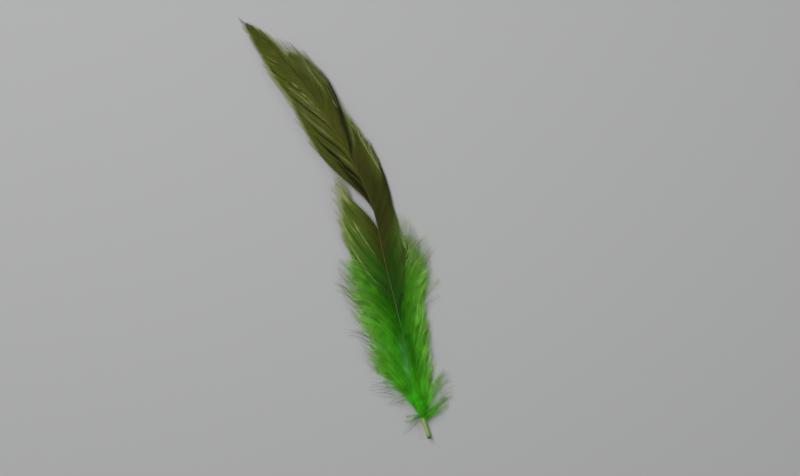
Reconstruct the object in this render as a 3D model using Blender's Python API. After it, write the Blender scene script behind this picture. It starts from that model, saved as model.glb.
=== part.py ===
# A dyed rooster feather, lying on a flat surface.
#
# One solid: a bare quill that runs on as a thinning shaft, the locks of the blade on both
# sides of it, and the softer locks of the down at its foot. Places on the feather are told
# by two numbers: the station, which is the length along the shaft from the quill's cut end,
# and the offset, which is the distance across from the shaft. All sizes here are in
# millimetres, measured from the quill's cut end, and are turned to metres about the origin
# as the mesh is made.

import math

import bmesh
import bpy
import numpy as np

MM = 0.001
ORIGIN = (8.6, 81.7, 0.0)    # middle of the feather's outline, on the surface

# Centre line of the shaft: across, along and height above the surface.
SHAFT_LINE = [
    (0.0, 0.0, 2.6),
    (0.6, 6.5, 2.7),
    (2.8, 22.0, 2.9),
    (6.3, 37.0, 3.1),
    (8.6, 50.0, 3.3),
    (11.4, 65.6, 3.8),
    (13.8, 76.5, 4.3),
    (15.1, 87.0, 4.8),
    (14.9, 100.0, 5.2),
    (13.5, 114.0, 5.3),
    (11.0, 128.0, 4.9),
    (7.1, 141.3, 3.7),
    (3.4, 152.9, 1.9),
    (0.0, 160.0, 0.6),
    (-1.5, 163.4, 0.15),
]
SHAFT_RADIUS = [(0.0, 0.66), (26.0, 0.64), (55.0, 0.48), (100.0, 0.32), (140.0, 0.2), (167.0, 0.08)]
SHAFT_SIDES = 8
SHAFT_STEP = 4.5

# Offset of the outline from the shaft, by station, where the tips of the locks end.
BLADE_LEFT_EDGE = [(104.0, 7.6), (112.0, 9.2), (121.0, 9.3), (129.0, 8.2), (137.0, 6.6), (148.0, 5.8),
                   (156.0, 3.9), (162.0, 2.0), (168.0, 0.2)]
BLADE_RIGHT_EDGE = [(60.0, 7.6), (65.0, 8.5), (72.0, 7.6), (79.0, 6.7), (87.0, 7.4), (96.0, 8.6),
                    (102.0, 8.1), (113.0, 6.5), (120.0, 5.9), (129.0, 7.0), (138.0, 6.4), (143.0, 4.6),
                    (148.0, 1.9), (158.0, 1.2), (166.0, 0.2)]
SPLIT_LEFT_EDGE = [(68.0, 10.6), (76.0, 12.2), (82.0, 12.0), (89.0, 10.2), (97.0, 7.1)]
DOWN_LEFT_EDGE = [(14.0, 5.5), (20.0, 9.5), (26.0, 12.0), (34.0, 13.5), (48.0, 13.5),
                  (58.0, 14.5), (72.0, 15.0)]
DOWN_RIGHT_EDGE = [(12.0, 6.5), (19.0, 9.5), (27.0, 8.0), (38.0, 9.5), (48.0, 11.5),
                   (60.0, 12.6), (74.0, 10.5)]

# Rows of locks. A row is spaced evenly from its first root to its last, and each lock reaches
# the given length further up the shaft, from the first lock's reach to the last one's.
# The blade's left side is split: the gap is between its two rows.
BLADE_ROWS = [
    {"side": -1, "roots": (85.5, 156.0), "count": 13, "reach": (27.5, 9.0), "edge": BLADE_LEFT_EDGE},
    {"side": 1, "roots": (46.0, 154.0), "count": 19, "reach": (17.0, 9.5), "edge": BLADE_RIGHT_EDGE},
    {"side": -1, "roots": (48.0, 73.5), "count": 6, "reach": (21.0, 23.5), "edge": SPLIT_LEFT_EDGE},
]
DOWN_ROWS = [
    {"side": -1, "roots": (8.5, 52.0), "count": 15, "reach": (6.0, 19.0), "edge": DOWN_LEFT_EDGE},
    {"side": 1, "roots": (8.0, 56.0), "count": 15, "reach": (5.0, 17.5), "edge": DOWN_RIGHT_EDGE},
]

# Longer, loose locks of down: side, root station, tip station, tip offset, tip height.
LOOSE_LOCKS = [
    (-1, 43.0, 69.0, 18.8, 3.6),
    (-1, 37.0, 62.5, 20.2, 2.0),
    (-1, 29.0, 47.5, 19.4, 3.4),
    (-1, 24.0, 42.0, 20.2, 1.0),
    (-1, 13.0, 22.0, 16.2, 2.6),
    (-1, 9.0, 2.5, 11.4, 1.4),
    (1, 49.0, 69.5, 18.8, 4.6),
    (1, 38.0, 55.5, 20.4, 1.8),
    (1, 31.0, 48.0, 16.4, 3.8),
    (1, 10.0, 19.0, 15.2, 3.2),
    (1, 7.5, 10.5, 11.4, 1.6),
]

BLADE_LOCK_WIDTH = 1.3        # along the shaft, as a share of the spacing of a row
BLADE_LOCK_THICK = 0.52       # at the root
BLADE_LOCK_TIP_THICK = 0.26
BLADE_BOW = 1.25              # how early a lock swings out before it follows the shaft
BLADE_DROP = {-1: 2.0, 1: 3.6}    # fall of the outline below the shaft, left and right
SHINGLE = 0.42                # height between a lock's two long edges
SHINGLE_STAGGER = 0.14        # every second lock sits this much higher
BLADE_SHARPNESS = 6.0         # how late a lock narrows to its tip

DOWN_LOCK_WIDTH = 1.25
DOWN_LOCK_THICK = 1.5
DOWN_LOCK_TIP_THICK = 0.5
DOWN_BOW = 1.1
DOWN_SHARPNESS = 3.0
DOWN_LAYERS = [(0.0, 0.0), (3.6, 0.9), (1.8, 0.5)]    # tip height and puff, in turn
LOOSE_PUFF = 0.4
LOOSE_WIDTH = 2.1
LOOSE_THICK = 0.9

LOCK_STATIONS = (0.0, 0.28, 0.56, 0.82)    # shares of a lock's length, before its pointed tip
SURFACE_DEPTH = 6.0


def read(profile, place):
    """Value of a list of (place, value) pairs between its places."""
    places, values = zip(*profile)
    return float(np.interp(place, places, values))


class Shaft:
    """The smooth centre line, measured by the length along it."""

    STEPS = 24

    def __init__(self, points):
        line = np.array(points)
        line = np.vstack([2 * line[0] - line[1], line, 2 * line[-1] - line[-2]])
        curve = [self.between(line[i - 1:i + 3], step / self.STEPS)
                 for i in range(1, len(line) - 2) for step in range(self.STEPS)]
        self.points = np.array(curve + [line[-2]])
        lengths = np.linalg.norm(np.diff(self.points, axis=0), axis=1)
        self.stations = np.concatenate([[0.0], np.cumsum(lengths)])
        self.length = float(self.stations[-1])

    @staticmethod
    def between(four, t):
        a, b, c, d = four
        return 0.5 * (2 * b + (c - a) * t + (2 * a - 5 * b + 4 * c - d) * t ** 2
                      + (3 * b - a - 3 * c + d) * t ** 3)

    def centre(self, station):
        """Point on the centre line, which runs on straight past both ends."""
        inside = min(max(station, 0.0), self.length)
        point = np.array([np.interp(inside, self.stations, self.points[:, axis]) for axis in range(3)])
        return point + (station - inside) * self.tangent(inside)

    def tangent(self, station):
        low, high = max(station - 0.5, 0.0), min(station + 0.5, self.length)
        ends = [np.array([np.interp(place, self.stations, self.points[:, axis]) for axis in range(3)])
                for place in (low, high)]
        step = ends[1] - ends[0]
        return step / np.linalg.norm(step)

    def place(self, station, offset, lift=0.0):
        """Point beside the shaft: offset is positive on the right, lift is upwards."""
        tangent = self.tangent(min(max(station, 0.0), self.length))
        across = np.array([tangent[1], -tangent[0], 0.0])
        across /= np.linalg.norm(across)
        return self.centre(station) + offset * across + np.array([0.0, 0.0, lift])


def in_metres(point):
    return [(coordinate - start) * MM for coordinate, start in zip(point, ORIGIN)]


def add_ring(mesh, points):
    return [mesh.verts.new(in_metres(point)) for point in points]


def join_rings(mesh, first, second):
    count = len(first)
    for i in range(count):
        j = (i + 1) % count
        mesh.faces.new((first[i], first[j], second[j], second[i]))


def close_with_point(mesh, ring, point):
    tip = mesh.verts.new(in_metres(point))
    for i, corner in enumerate(ring):
        mesh.faces.new((corner, ring[(i + 1) % len(ring)], tip))


def add_shaft(mesh, shaft):
    """Round rod from the cut end of the quill to the tip of the feather."""
    count = int(shaft.length / SHAFT_STEP)
    rings = []
    for k in range(count + 1):
        station = shaft.length * k / count
        radius = read(SHAFT_RADIUS, station)
        corners = []
        for side in range(SHAFT_SIDES):
            angle = 2 * math.pi * (side + 0.5) / SHAFT_SIDES
            corners.append(shaft.place(station, radius * math.cos(angle), radius * math.sin(angle)))
        rings.append(add_ring(mesh, corners))
    for first, second in zip(rings, rings[1:]):
        join_rings(mesh, first, second)
    mesh.faces.new(rings[0])
    mesh.faces.new(rings[-1])


def add_lock(mesh, shaft, lock):
    """Long flat lock of barbs: four-sided rings from the shaft out to a point.

    The lock's width is measured along the shaft, so that the roots of a row close up.
    """
    side = lock["side"]
    root, tip = lock["root"], lock["tip"]

    def point(share, slip, lift):
        station = root + (tip - root) * share + slip
        offset = lock["offset"] * (1 - (1 - share) ** lock["bow"])
        height = lock["height"](share, offset)
        return shaft.place(station, side * offset, height + lift)

    rings = []
    for share in LOCK_STATIONS:
        half = 0.5 * lock["width"] * (1 - share ** lock["sharpness"])
        thick = 0.5 * (lock["thick"] + (lock["tip_thick"] - lock["thick"]) * share)
        bank = 0.5 * lock["bank"]
        corners = [point(share, -half, bank), point(share, 0.0, thick),
                   point(share, half, -bank), point(share, 0.0, -thick)]
        rings.append(add_ring(mesh, corners))
    for first, second in zip(rings, rings[1:]):
        join_rings(mesh, first, second)
    mesh.faces.new(rings[0])
    close_with_point(mesh, rings[-1], point(1.0, 0.0, 0.0))


def blade_locks():
    """Locks of the blade, which lie over one another like shingles."""
    for row in BLADE_ROWS:
        roots = np.linspace(*row["roots"], row["count"])
        reaches = np.linspace(*row["reach"], row["count"])
        spacing = roots[1] - roots[0]
        drop = BLADE_DROP[row["side"]]
        for number, (root, reach) in enumerate(zip(roots, reaches)):
            offset = read(row["edge"], root + reach)
            lift = SHINGLE_STAGGER * (number % 2)
            widest = max(value for _, value in row["edge"])

            def height(share, out, lift=lift, drop=drop, widest=widest):
                return lift * share - drop * (out / widest) ** 2

            yield {"side": row["side"], "root": root, "tip": root + reach, "offset": offset,
                   "bow": BLADE_BOW, "width": BLADE_LOCK_WIDTH * spacing, "sharpness": BLADE_SHARPNESS,
                   "thick": BLADE_LOCK_THICK, "tip_thick": BLADE_LOCK_TIP_THICK, "bank": SHINGLE,
                   "height": height}


def soft_height(shaft, root, tip, tip_height, puff):
    """Height of a lock of down over the shaft: it puffs up a little and levels out at its tip."""
    start = shaft.centre(root)[2]

    def height(share, _):
        target = tip_height + (start - tip_height) * (1 - share) ** 2 + puff * 4 * share * (1 - share)
        return target - shaft.centre(root + (tip - root) * share)[2]

    return height


def down_lock(shaft, side, root, tip, offset, layer):
    """What every lock of down has in common; layer is its tip's height and its puff."""
    return {"side": side, "root": root, "tip": tip, "offset": offset, "bow": DOWN_BOW,
            "width": LOOSE_WIDTH, "sharpness": DOWN_SHARPNESS, "thick": LOOSE_THICK,
            "tip_thick": DOWN_LOCK_TIP_THICK, "bank": 0.0,
            "height": soft_height(shaft, root, tip, *layer)}


def down_locks(shaft):
    """Rows of down in three layers, and the loose locks that stand out of them."""
    for row in DOWN_ROWS:
        roots = np.linspace(*row["roots"], row["count"])
        reaches = np.linspace(*row["reach"], row["count"])
        spacing = roots[1] - roots[0]
        for number, (root, reach) in enumerate(zip(roots, reaches)):
            tip = root + reach
            layer = DOWN_LAYERS[number % len(DOWN_LAYERS)]
            lock = down_lock(shaft, row["side"], root, tip, read(row["edge"], tip), layer)
            lock["width"] = DOWN_LOCK_WIDTH * spacing
            lock["thick"] = DOWN_LOCK_THICK
            yield lock
    for side, root, tip, offset, tip_height in LOOSE_LOCKS:
        yield down_lock(shaft, side, root, tip, offset, (tip_height, LOOSE_PUFF))


def new_object(name, mesh_data):
    item = bpy.data.objects.new(name, mesh_data)
    bpy.context.scene.collection.objects.link(item)
    return item


def finish_mesh(name, mesh):
    bmesh.ops.recalc_face_normals(mesh, faces=mesh.faces)
    data = bpy.data.meshes.new(name)
    mesh.to_mesh(data)
    mesh.free()
    return data


def dye_material():
    """Green dye over brown barbs, matt with a faint sheen."""
    material = bpy.data.materials.new("dyed_barbs")
    material.use_nodes = True
    shader = material.node_tree.nodes["Principled BSDF"]
    shader.inputs["Base Color"].default_value = (0.06, 0.2, 0.015, 1.0)
    shader.inputs["Roughness"].default_value = 0.6
    shader.inputs["Metallic"].default_value = 0.0
    return material


def surface_cutter(low, high):
    """Slab whose top is the surface that the feather lies on."""
    mesh = bmesh.new()
    bmesh.ops.create_cube(mesh, size=1.0)
    size = [(high[axis] - low[axis]) + 10 * MM for axis in range(2)]
    bmesh.ops.scale(mesh, vec=(size[0], size[1], SURFACE_DEPTH * MM), verts=mesh.verts)
    middle = [(high[axis] + low[axis]) / 2 for axis in range(2)]
    bmesh.ops.translate(mesh, vec=(middle[0], middle[1], -SURFACE_DEPTH * MM / 2), verts=mesh.verts)
    return finish_mesh("surface", mesh)


def as_cutter(item):
    item.hide_render = True
    item.display_type = "WIRE"


def build():
    for item in list(bpy.data.objects):
        bpy.data.objects.remove(item, do_unlink=True)
    shaft = Shaft(SHAFT_LINE)

    mesh = bmesh.new()
    add_shaft(mesh, shaft)
    feather = new_object("feather", finish_mesh("feather", mesh))
    feather.data.materials.append(dye_material())

    mesh = bmesh.new()
    for lock in list(blade_locks()) + list(down_locks(shaft)):
        add_lock(mesh, shaft, lock)
    locks = new_object("locks", finish_mesh("locks", mesh))
    as_cutter(locks)

    corners = np.array([vertex.co for vertex in locks.data.vertices])
    surface = new_object("surface", surface_cutter(corners.min(axis=0), corners.max(axis=0)))
    as_cutter(surface)

    grow = feather.modifiers.new("locks grow from the shaft", "BOOLEAN")
    grow.operation = "UNION"
    grow.solver = "EXACT"
    grow.use_self = True
    grow.object = locks
    rest = feather.modifiers.new("flat where it rests", "BOOLEAN")
    rest.operation = "DIFFERENCE"
    rest.solver = "EXACT"
    rest.object = surface


build()
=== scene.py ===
# A dyed rooster feather that lies on a pale floor: bare quill and shaft, a long olive blade that
# is split on its left side, and bright green down.
#
# A place on the feather is told by its station, which is the length along the shaft from the
# quill's cut end, and its offset, the distance across from the shaft. Both are in millimetres
# here, and become metres in the feather's own frame when a mesh is made.
import math

import bmesh
import bpy
import numpy as np
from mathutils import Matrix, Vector


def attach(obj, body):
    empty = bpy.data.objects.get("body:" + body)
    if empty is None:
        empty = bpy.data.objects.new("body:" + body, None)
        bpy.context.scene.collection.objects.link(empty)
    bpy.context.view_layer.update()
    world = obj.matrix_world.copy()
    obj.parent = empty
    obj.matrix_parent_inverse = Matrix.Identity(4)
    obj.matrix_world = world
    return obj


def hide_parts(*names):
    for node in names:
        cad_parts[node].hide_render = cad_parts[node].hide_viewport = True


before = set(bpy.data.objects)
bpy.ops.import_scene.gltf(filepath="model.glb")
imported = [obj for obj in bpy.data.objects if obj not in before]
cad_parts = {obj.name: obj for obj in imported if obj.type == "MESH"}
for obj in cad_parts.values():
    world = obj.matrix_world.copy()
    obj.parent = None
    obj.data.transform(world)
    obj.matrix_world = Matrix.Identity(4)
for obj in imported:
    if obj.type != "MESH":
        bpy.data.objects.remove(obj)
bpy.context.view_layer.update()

feather = {
    "origin": (8.6, 81.7, 0.0),    # middle of the outline, on the floor
    "line": [    # the shaft's centre line: across, along and height
        (0.0, 0.0, 2.6), (0.6, 6.5, 2.7), (2.8, 22.0, 2.9), (6.3, 37.0, 3.1), (8.6, 50.0, 3.3),
        (11.4, 65.6, 3.8), (13.8, 76.5, 4.3), (15.1, 87.0, 4.8), (14.9, 100.0, 5.2),
        (13.5, 114.0, 5.3), (11.0, 128.0, 4.9), (7.1, 141.3, 3.7), (3.4, 152.9, 1.9),
        (0.0, 160.0, 0.6), (-1.5, 163.4, 0.15),
    ],
    "floorGap": 0.03,    # least height of a surface above the floor
    "lineGap": 0.05,     # and of the middle line of a barb or hair
}
mm = 0.001
phases = (0.0, 6.28)     # where a wave may start, in radians


def ramp(low, high, value):
    # 0 below low and 1 above high, with a soft change between them
    share = np.clip((value - low) / (high - low), 0.0, 1.0)
    return share * share * (3.0 - 2.0 * share)


def read(table, place, column=1):
    places = [row[0] for row in table]
    return np.interp(place, places, [row[column] for row in table])


def unit(vectors):
    return vectors / np.maximum(np.linalg.norm(vectors, axis=-1, keepdims=True), 1e-9)


def inMetres(points):
    return (np.asarray(points) - np.array(feather["origin"])) * mm


def window(rise, fall, value):
    # 0 before the rise, 1 between the rise and the fall, 0 after the fall: each is a pair of places
    return ramp(*rise, value) * (1.0 - ramp(*fall, value))


def shares(rings):
    # even steps along a strand, from 0 at its root to 1 at its tip
    return np.linspace(0.0, 1.0, rings)[None, :]


def fill(values, like):
    # the values spread over the shape of another array
    return np.broadcast_to(values, like.shape)


class Shaft:
    # smooth line through the points, measured by the length along it, with straight run-ons
    def __init__(self, line, steps=24):
        line = np.array(line)
        ends = np.vstack([2 * line[0] - line[1], line, 2 * line[-1] - line[-2]])
        share = np.arange(steps)[:, None] / steps
        spans = []
        for start in range(len(line) - 1):
            a, b, c, d = ends[start:start + 4]
            spans.append(0.5 * (2 * b + (c - a) * share + (2 * a - 5 * b + 4 * c - d) * share ** 2
                                + (3 * b - a - 3 * c + d) * share ** 3))
        self.points = np.vstack(spans + [line[-1:]])
        lengths = np.linalg.norm(np.diff(self.points, axis=0), axis=1)
        self.stations = np.concatenate([[0.0], np.cumsum(lengths)])
        self.length = self.stations[-1]
        self.tangents = unit(np.gradient(self.points, self.stations, axis=0))

    def follow(self, values, station):
        columns = [np.interp(station, self.stations, values[:, axis]) for axis in range(3)]
        return np.stack(columns, axis=-1)

    def tangent(self, station):
        return unit(self.follow(self.tangents, np.clip(station, 0.0, self.length)))

    def centre(self, station):
        inside = np.clip(station, 0.0, self.length)
        return self.follow(self.points, inside) + (station - inside)[..., None] * self.tangent(station)

    def place(self, station, offset, lift):
        tangent = self.tangent(station)
        level = np.zeros_like(tangent[..., 0])
        across = unit(np.stack([tangent[..., 1], -tangent[..., 0], level], axis=-1))
        point = self.centre(station) + offset[..., None] * across
        point[..., 2] += lift
        return point


shaft = Shaft(feather["line"])

strip = {    # each strand has its own strip of the UV map
    "start": 0.03,
    "end": 0.97,
    "slant": 0.006,
    "half": 0.42,    # half width of a strip, as a share of the distance between two
}


def stripsFor(strands, count):
    # middle and half width of the strips of these strands, among so many
    strands = np.ravel(strands)
    return (strands + 0.5) / count, np.full(len(strands), strip["half"] / count)


class Bundle:
    # closed tapering strands and spikes of one piece, joined in one mesh
    def __init__(self):
        self.parts = []
        self.faces = []
        self.count = 0

    def add(self, points, uvs, marks, faces):
        self.parts.append((points, uvs, marks))
        self.faces += [corners + self.count for corners in faces]
        self.count += len(points)

    def addStrands(self, lines, across, up, width, height, profile, marks):
        # lines: strands, rings, 3; profile: corners, clockwise seen along the strand
        strands, rings = lines.shape[:2]
        corners = len(profile)
        sideways, upwards = np.array(profile).T
        body = lines[:, :-1, None, :]
        body = body + (sideways * width[:, :-1, None])[..., None] * across[:, :-1, None, :]
        body = body + (upwards * height[:, :-1, None])[..., None] * up[:, :-1, None, :]
        points = np.concatenate([body.reshape(-1, 3), lines[:, -1]])

        share = np.linspace(strip["start"], strip["end"], rings)
        middle, half = stripsFor(np.arange(strands), strands)
        u, v = np.broadcast_arrays(middle[:, None, None] + half[:, None, None] * sideways,
                                   share[:-1, None] + strip["slant"] * upwards)
        uvs = np.concatenate([np.stack([u, v], axis=-1).reshape(-1, 2),
                              np.stack([middle, np.full(strands, share[-1])], axis=-1)])
        values = {}
        for name, value in marks.items():
            ring = np.repeat(value[:, :-1, None], corners, axis=2)
            values[name] = np.concatenate([ring.ravel(), value[:, -1]])

        start = (np.arange(strands)[:, None] * (rings - 1) + np.arange(rings - 1)) * corners
        here = np.arange(corners)
        after = (here + 1) % corners
        low, high, last = start[:, :-1, None], start[:, 1:, None], start[:, -1, None]
        tips = fill(strands * (rings - 1) * corners + np.arange(strands)[:, None], last + here)
        sides = np.stack([low + here, low + after, high + after, high + here], axis=-1)
        ends = np.stack([last + here, last + after, tips], axis=-1)
        caps = start[:, 0, None] + here[::-1]
        self.add(points, uvs, values, [sides.reshape(-1, 4), ends.reshape(-1, 3), caps])

    def addSpikes(self, roots, tips, radius, strips, share, marks):
        # three-sided spikes: barbules
        aside = np.array([0.13, 0.21, 0.97])    # no barbule points just this way
        direction = unit(tips - roots)
        first = unit(np.cross(direction, aside))
        second = np.cross(first, direction)
        turns = np.arange(3) * 2 * math.pi / 3
        ring = roots[:, None] + radius[:, None, None] * (np.cos(turns)[:, None] * first[:, None]
                                                         + np.sin(turns)[:, None] * second[:, None])
        points = np.concatenate([ring, tips[:, None]], axis=1).reshape(-1, 3)
        middle, half = strips
        u = middle[:, None] + half[:, None] * np.append(0.8 * np.cos(turns), 0.1)
        v = share[:, None] + np.append(strip["slant"] * np.sin(turns), 0.014)
        values = {name: np.repeat(value, 4) for name, value in marks.items()}
        start = 4 * np.arange(len(roots))[:, None]
        sides = [start + np.array(corners) for corners in ((0, 1, 3), (1, 2, 3), (2, 0, 3), (2, 1, 0))]
        self.add(points, np.stack([u, v], axis=-1).reshape(-1, 2), values, sides)

    def makePiece(self, name, material):
        points, uvs, marks = zip(*self.parts)
        points = inMetres(np.concatenate(points)).astype(np.float32)
        loops = np.concatenate([corners.ravel() for corners in self.faces]).astype(np.int32)
        sizes = np.concatenate([np.full(len(corners), corners.shape[1]) for corners in self.faces])
        starts = np.concatenate([[0], np.cumsum(sizes)[:-1]]).astype(np.int32)
        mesh = bpy.data.meshes.new(name)
        mesh.vertices.add(len(points))
        mesh.vertices.foreach_set("co", points.ravel())
        mesh.loops.add(len(loops))
        mesh.loops.foreach_set("vertex_index", loops)
        mesh.polygons.add(len(sizes))
        mesh.polygons.foreach_set("loop_start", starts)
        mesh.update(calc_edges=True)
        mesh.polygons.foreach_set("use_smooth", np.ones(len(sizes), dtype=bool))
        uvMap = mesh.uv_layers.new(name="OFBake")
        uvMap.data.foreach_set("uv", np.concatenate(uvs)[loops].astype(np.float32).ravel())
        for mark in marks[0]:
            values = np.concatenate([part[mark] for part in marks]).astype(np.float32)
            mesh.attributes.new(mark, "FLOAT", "POINT").data.foreach_set("value", values)
        mesh.materials.append(material)
        print(f"{name}: {len(points)} points, {int((sizes - 2).sum())} triangles")
        return putOnFeather(name, mesh)


def addObject(name, data):
    added = bpy.data.objects.new(name, data)
    bpy.context.scene.collection.objects.link(added)
    return added


def putOnFeather(name, mesh):
    piece = addObject(name, mesh)
    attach(piece, "root")
    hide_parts("feather")
    return piece


class Wire:
    # a socket that can stand in sums: each operator adds the node it needs
    def __init__(self, tree, socket=None):
        self.tree = tree
        self.socket = socket

    def make(self, kind, settings=None, sockets=None, out=0):
        node = self.tree.nodes.new("ShaderNode" + kind)
        for name, value in (settings or {}).items():
            setattr(node, name, value)
        for name, value in (sockets or {}).items():
            if isinstance(value, Wire):
                self.tree.links.new(value.socket, node.inputs[name])
            else:
                node.inputs[name].default_value = value
        return Wire(self.tree, node.outputs[out]) if node.outputs else None

    def math(self, operation, first, second):
        return self.make("Math", {"operation": operation}, {0: first, 1: second})

    def __add__(self, other):
        return self.math("ADD", self, other)

    def __sub__(self, other):
        return self.math("SUBTRACT", self, other)

    def __mul__(self, other):
        return self.math("MULTIPLY", self, other)

    __radd__ = __add__
    __rmul__ = __mul__

    def between(self, low, high):
        # ramp from low to high
        settings = {"interpolation_type": "SMOOTHSTEP"}
        return self.make("MapRange", settings, {"Value": self, "From Min": low, "From Max": high})

    def attribute(self, name):
        return self.make("Attribute", {"attribute_name": name}, out="Fac")

    def stretch(self, scale):
        settings = {"operation": "MULTIPLY"}
        return self.make("VectorMath", settings, {0: self, 1: scale})

    def noise(self, size, detail=2.0):
        return self.make("TexNoise", {}, {"Vector": self, "Scale": size, "Detail": detail})

    def blend(self, share, first, second):
        settings = {"data_type": "RGBA", "clamp_factor": True}
        return self.make("Mix", settings, {0: share, 6: first, 7: second}, out=2)

    def shade(self, colour, amount):
        # colour made lighter or darker by a factor
        return self.make("VectorMath", {"operation": "SCALE"}, {0: colour, "Scale": amount})

    def bump(self, strength, distance, height):
        sockets = {"Strength": strength, "Distance": distance, "Height": height}
        return self.make("Bump", sockets=sockets)

    def surface(self, sockets, through=0.0, glow=None):
        # a skin, with light coming through it where it has a glow
        skin = self.make("BsdfPrincipled", sockets=sockets)
        if glow:
            lit = self.make("BsdfTranslucent", sockets={"Color": glow})
            skin = self.make("MixShader", sockets={0: through, 1: skin, 2: lit})
        self.make("OutputMaterial", sockets={"Surface": skin})


def dye(red, green, blue):
    # colour as it would be picked on screen
    parts = [value / 255 for value in (red, green, blue)]
    return tuple(p / 12.92 if p < 0.04045 else ((p + 0.055) / 1.055) ** 2.4 for p in parts) + (1.0,)


def newMaterial(name):
    material = bpy.data.materials.new(name)
    material.use_nodes = True
    tree = material.node_tree
    tree.nodes.clear()
    return material, Wire(tree)


barbColours = {
    "brownInner": dye(92, 94, 29),     # olive blade beside the shaft
    "brownOuter": dye(90, 104, 30),    # and near its outline
    # painted shade: laid into the clefts between locks and into the dark patch
    "cleftShade": dye(26, 28, 8),        # in the clefts and the dark patch
    "greenInner": dye(98, 206, 46),
    "green": dye(142, 236, 70),
    "greenOuter": dye(190, 236, 116),
    "hairTip": dye(110, 138, 84),
    "leafInner": dye(58, 114, 14),     # the blade's green parts
    "leaf": dye(90, 132, 32),
    "leafOuter": dye(134, 166, 68),
    "paleBlade": dye(192, 196, 136),
    "paleDown": dye(150, 216, 156),
}


def barbMaterial(name, colours, look):
    material, start = newMaterial(name)
    uv = start.make("UVMap", {"uv_map": "OFBake"})
    coords = start.make("TexCoord", out="Object")
    share = start.make("SeparateXYZ", sockets={0: uv}, out=1)
    outer = start.attribute("outer")
    tone = start.attribute("tone")

    streak = uv.stretch(look["streakStretch"]).noise(1.0, 3.0)
    along = uv.stretch(look["flecksStretch"]).noise(1.0, 2.0)
    mottle = coords.noise(look["mottleSize"], 2.0)
    brownShare = (start.attribute("brown") + (along - 0.5) * 0.7 + tone * 0.12).between(0.0, 1.0)

    brown = start.blend(outer, colours["brownInner"], colours["brownOuter"])
    inner, middle, outside = [colours[key] for key in look["greens"]]
    deep = start.blend(outer.between(0.0, 0.4), inner, middle)
    green = start.blend(outer.between(0.4, 1.0), deep, outside)
    colour = start.blend(brownShare, green, brown)
    colour = start.blend(start.attribute("pale"), colour, colours[look["pale"]])
    tipShare = share.between(look["tipFrom"], 1.0) * look["tipGrey"]
    colour = start.blend(tipShare, colour, colours["hairTip"])
    # painted shade in the clefts
    colour = start.blend(start.attribute("cleft"), colour, colours["cleftShade"])
    shade = 1.0 + (streak - 0.5) * look["streaks"] + (along - 0.5) * look["flecks"]
    shade = shade + tone * look["tones"] + (mottle - 0.5) * look["mottles"]
    # the light mark is painted light and shade, laid over the colour
    colour = start.shade(colour, shade * start.attribute("light"))

    ridges = uv.stretch(look["ridgeStretch"]).noise(1.0, 1.0)
    start.surface({
        "Base Color": colour, "Roughness": 0.55 + (streak - 0.5) * 0.25,
        "Normal": start.bump(look["bump"], 0.08 * mm, ridges), "Specular IOR Level": look["specular"],
    }, look["through"], look["glow"])
    return material


# stretches are for noise across a strand, along it and through it; the amounts say how much it shows
bladeLook = {
    "streakStretch": (70.0, 2.2, 1.0),
    "flecksStretch": (16.0, 7.0, 1.0),
    "ridgeStretch": (160.0, 260.0, 1.0),
    "streaks": 1.1, "flecks": 0.4, "tones": 0.1, "mottleSize": 420.0, "mottles": 0.3,
    "greens": ("leafInner", "leaf", "leafOuter"),
    "pale": "paleBlade",
    "tipFrom": 0.97, "tipGrey": 0.0, "bump": 0.5, "specular": 0.12,
    "through": 0.22, "glow": dye(120, 135, 20),    # how much light comes through, and its colour
}
downLook = {
    "streakStretch": (60.0, 3.0, 1.0),
    "flecksStretch": (18.0, 6.0, 1.0),
    "ridgeStretch": (120.0, 200.0, 1.0),
    "streaks": 0.3, "flecks": 0.3, "tones": 0.12, "mottleSize": 330.0, "mottles": 1.3,
    "greens": ("greenInner", "green", "greenOuter"),
    "pale": "paleDown",
    "tipFrom": 0.84, "tipGrey": 0.45, "bump": 0.3, "specular": 0.06,
    "through": 0.5, "glow": dye(146, 240, 66),
}

bladeMaterial = barbMaterial("olive blade barbs", barbColours, bladeLook)
downMaterial = barbMaterial("green down barbs", barbColours, downLook)
print("materials made")


vaneProfile = [(-1.0, -0.1), (-0.3, 0.3), (0.0, 1.0), (0.3, 0.3), (1.0, -0.1), (0.0, -0.7)]
stemProfile = [(-1.0, 0.0), (0.0, 1.0), (1.0, 0.0), (0.0, -1.0)]
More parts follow.
